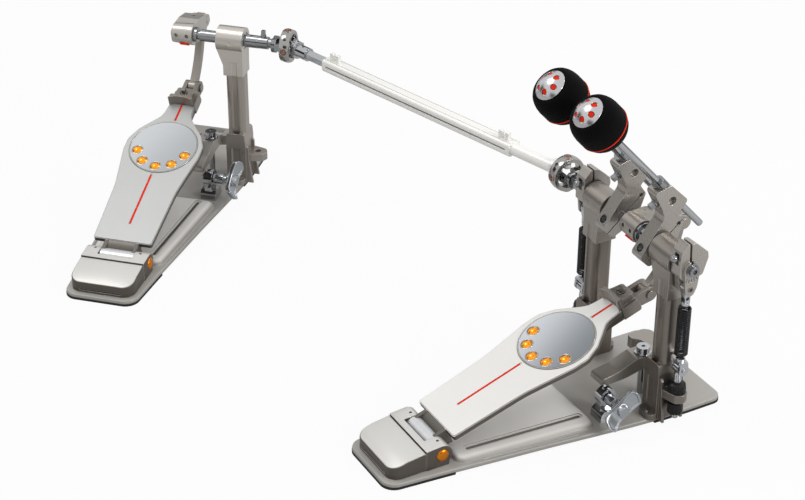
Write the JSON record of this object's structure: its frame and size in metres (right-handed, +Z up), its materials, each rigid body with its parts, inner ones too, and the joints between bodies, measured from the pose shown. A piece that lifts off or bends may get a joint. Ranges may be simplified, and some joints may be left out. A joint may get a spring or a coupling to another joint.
{
  "type": "double bass drum pedal",
  "caption": "Double bass drum pedal: main pedal with two beaters and spring towers, slave pedal, and a telescopic rod with universal joints",
  "frame": {"origin": "on the floor, under the main pedal's shaft at its centre plane", "axes": "+X along the main shaft to the drummer's right, +Y toward the drum, +Z up"},
  "size_m": [0.8882, 0.555, 0.3935],
  "materials": {
    "cast_plate": "satin",
    "rubber": "matte",
    "polished_steel": "polished",
    "amber": "gloss",
    "brushed_board": "brushed satin",
    "mirror": "mirror",
    "tower_grey": "satin",
    "hub_grey": "satin",
    "black": "satin black",
    "felt": "felt",
    "silver_tube": "satin"
  },
  "bodies": {
    "main_frame": {"main_base_plate": "cast_plate", "main_rubber_pads": "rubber", "main_heel_block": "cast_plate", "main_hinge_pin": "polished_steel", "main_side_caps": "amber", "main_towers": "tower_grey", "main_heads": "tower_grey", "main_bearings": "polished_steel", "main_hardware": "polished_steel"},
    "main_clamp": {"main_clamp_arm": "cast_plate"},
    "main_wing": {"main_wing_bolt": "polished_steel"},
    "right_knobs": {"right_tension_knobs": "black"},
    "left_knobs": {"left_tension_knobs": "black"},
    "right_swivel": {"right_spring_swivel": "polished_steel", "right_spring": "black"},
    "left_swivel": {"left_spring_swivel": "polished_steel", "left_spring": "black"},
    "right_fork": {"right_spring_fork": "polished_steel"},
    "left_fork": {"left_spring_fork": "polished_steel"},
    "main_rotor": {"main_shaft": "polished_steel", "main_crank": "cast_plate", "main_hub": "hub_grey", "main_spring_lever": "hub_grey"},
    "main_beater": {"main_beater_rod": "polished_steel", "main_beater_felt": "felt", "main_beater_core": "polished_steel"},
    "left_rotor": {"left_shaft": "polished_steel", "left_hub": "hub_grey", "left_spring_lever": "hub_grey"},
    "left_beater": {"left_beater_rod": "polished_steel", "left_beater_felt": "felt", "left_beater_core": "polished_steel"},
    "main_pedal": {"main_footboard": "brushed_board", "main_toe_block": "brushed_board", "main_clevis_pin": "polished_steel", "main_disc": "mirror", "main_domes": "amber"},
    "main_link_arm": {"main_link": "cast_plate"},
    "slave_frame": {"slave_base_plate": "cast_plate", "slave_rubber_pads": "rubber", "slave_heel_block": "cast_plate", "slave_hinge_pin": "polished_steel", "slave_side_caps": "amber", "slave_tower": "tower_grey", "slave_head": "tower_grey", "slave_bearings": "polished_steel", "slave_hardware": "polished_steel"},
    "slave_clamp": {"slave_clamp_arm": "cast_plate"},
    "slave_wing": {"slave_wing_bolt": "polished_steel"},
    "slave_pedal": {"slave_footboard": "brushed_board", "slave_toe_block": "brushed_board", "slave_clevis_pin": "polished_steel", "slave_disc": "mirror", "slave_domes": "amber"},
    "slave_link_arm": {"slave_link": "cast_plate"},
    "slave_rotor": {"slave_shaft": "polished_steel", "slave_crank": "cast_plate"},
    "slave_ring": {"slave_ujoint_ring": "polished_steel"},
    "slide_bar": {"slave_slide_bar": "polished_steel"},
    "rod": {"connecting_tube": "silver_tube"},
    "main_ring": {"main_ujoint_ring": "polished_steel"}
  },
  "joints": [
    {"name": "main_footboard_hinge", "type": "hinge", "parent": "main_frame", "child": "main_pedal", "pos_m": [0, -0.2595, 0.021], "axis": [1, 0, 0], "range_deg": [-8.5, 0], "stiffness_Nm_per_rad": 8, "springref_deg": 20.05},
    {"name": "main_clevis_pivot", "type": "hinge", "parent": "main_pedal", "child": "main_link_arm", "pos_m": [0, 0.01796, 0.11907], "axis": [1, 0, 0], "range_deg": [0, 25.74]},
    {"name": "main_rotor_hinge", "type": "hinge", "parent": "main_frame", "child": "main_rotor", "pos_m": [0, 0, 0.204], "axis": [1, 0, 0], "range_deg": [-36.13, 0], "deforming": ["right_spring"]},
    {"name": "main_wing_turn", "type": "hinge", "parent": "main_frame", "child": "main_wing", "pos_m": [0, -0.06, 0.034], "axis": [1, 0, 0], "range_deg": [0, 180]},
    {"name": "main_clamp_pivot", "type": "hinge", "parent": "main_frame", "child": "main_clamp", "pos_m": [0, 0, 0.059], "axis": [1, 0, 0], "range_deg": [0, 2.01]},
    {"name": "slave_footboard_hinge", "type": "hinge", "parent": "slave_frame", "child": "slave_pedal", "pos_m": [-0.49195, -0.40482, 0.021], "axis": [0.6959, 0.7181, 0], "range_deg": [-8.5, 0], "stiffness_Nm_per_rad": 8, "springref_deg": 25.78},
    {"name": "slave_clevis_pivot", "type": "hinge", "parent": "slave_pedal", "child": "slave_link_arm", "pos_m": [-0.6912, -0.21173, 0.11907], "axis": [0.6959, 0.7181, 0], "range_deg": [0, 25.74]},
    {"name": "slave_rotor_hinge", "type": "hinge", "parent": "slave_frame", "child": "slave_rotor", "pos_m": [-0.67831, -0.22423, 0.204], "axis": [0.6959, 0.7181, 0], "range_deg": [-36.13, 0]},
    {"name": "slave_wing_turn", "type": "hinge", "parent": "slave_frame", "child": "slave_wing", "pos_m": [-0.63522, -0.26598, 0.034], "axis": [0.6959, 0.7181, 0], "range_deg": [0, 180]},
    {"name": "slave_clamp_pivot", "type": "hinge", "parent": "slave_frame", "child": "slave_clamp", "pos_m": [-0.67831, -0.22423, 0.059], "axis": [0.6959, 0.7181, 0], "range_deg": [0, 2.01]},
    {"name": "right_swivel_tilt", "type": "hinge", "parent": "main_frame", "child": "right_swivel", "pos_m": [0.094, 0, 0.078], "axis": [1, 0, 0], "range_deg": [0, 7.9]},
    {"name": "right_fork_pivot", "type": "hinge", "parent": "main_rotor", "child": "right_fork", "pos_m": [0.094, 0, 0.18], "axis": [1, 0, 0], "range_deg": [0, 44.03]},
    {"name": "left_rotor_hinge", "type": "hinge", "parent": "main_frame", "child": "left_rotor", "pos_m": [0, 0, 0.204], "axis": [1, 0, 0], "range_deg": [-39.53, 0], "deforming": ["left_spring"]},
    {"name": "left_swivel_tilt", "type": "hinge", "parent": "main_frame", "child": "left_swivel", "pos_m": [-0.094, 0, 0.078], "axis": [1, 0, 0], "range_deg": [0, 8.53]},
    {"name": "left_fork_pivot", "type": "hinge", "parent": "left_rotor", "child": "left_fork", "pos_m": [-0.094, 0, 0.18], "axis": [1, 0, 0], "range_deg": [0, 48.06]},
    {"name": "slave_ring_tilt", "type": "hinge", "parent": "slave_rotor", "child": "slave_ring", "pos_m": [-0.58269, -0.12556, 0.204], "axis": [-0.7181, 0.6959, 0], "range_deg": [0, 19.71]},
    {"name": "rod_spin", "type": "hinge", "parent": "main_frame", "child": "rod", "pos_m": [-0.58269, -0.12556, 0.204], "axis": [0.9627, 0.2706, 0], "range_deg": [-40.77, 0]},
    {"name": "main_ring_tilt", "type": "hinge", "parent": "left_rotor", "child": "main_ring", "pos_m": [-0.136, 0, 0.204], "axis": [0, 1, 0], "range_deg": [-10.52, 0]},
    {"name": "slave_distance", "type": "slide", "parent": "main_frame", "child": "slave_frame", "axis": [-0.9627, -0.2706, 0], "range_m": [-0.03, 0.06]},
    {"name": "bar_slide", "type": "slide", "parent": "rod", "child": "slide_bar", "axis": [-0.9627, -0.2706, 0], "range_m": [-0.0301, 0.0601]},
    {"name": "main_beater_height", "type": "slide", "parent": "main_rotor", "child": "main_beater", "axis": [0, -0.6691, 0.7431], "range_m": [-0.02, 0.015]},
    {"name": "left_beater_height", "type": "slide", "parent": "left_rotor", "child": "left_beater", "axis": [0, -0.6691, 0.7431], "range_m": [-0.02, 0.015]},
    {"name": "right_knob_turn", "type": "hinge", "parent": "main_frame", "child": "right_knobs", "pos_m": [0.092, 0, 0.043], "axis": [0, 0, 1], "range_deg": [-180, 180]},
    {"name": "left_knob_turn", "type": "hinge", "parent": "main_frame", "child": "left_knobs", "pos_m": [-0.092, 0, 0.043], "axis": [0, 0, 1], "range_deg": [-180, 180]}
  ],
  "couplings": [
    {"joint": "main_clevis_pivot", "follows": "main_footboard_hinge", "ratio": -3.0226},
    {"joint": "main_rotor_hinge", "follows": "main_footboard_hinge", "ratio": 4.2423},
    {"joint": "main_clamp_pivot", "follows": "main_wing_turn", "ratio": 0.011111},
    {"joint": "slave_clevis_pivot", "follows": "slave_footboard_hinge", "ratio": -3.0226},
    {"joint": "slave_rotor_hinge", "follows": "slave_footboard_hinge", "ratio": 4.2423},
    {"joint": "slave_clamp_pivot", "follows": "slave_wing_turn", "ratio": 0.011111},
    {"joint": "right_swivel_tilt", "follows": "main_footboard_hinge", "ratio": -0.9271},
    {"joint": "right_fork_pivot", "follows": "main_footboard_hinge", "ratio": -5.1694},
    {"joint": "left_rotor_hinge", "follows": "slave_footboard_hinge", "ratio": 4.6414},
    {"joint": "left_swivel_tilt", "follows": "slave_footboard_hinge", "ratio": -1.0018},
    {"joint": "left_fork_pivot", "follows": "slave_footboard_hinge", "ratio": -5.6431},
    {"joint": "slave_ring_tilt", "follows": "slave_footboard_hinge", "ratio": -2.3144},
    {"joint": "rod_spin", "follows": "slave_footboard_hinge", "ratio": 4.7875},
    {"joint": "main_ring_tilt", "follows": "slave_footboard_hinge", "ratio": 1.2346},
    {"joint": "bar_slide", "follows": "slave_distance", "ratio": 1}
  ]
}
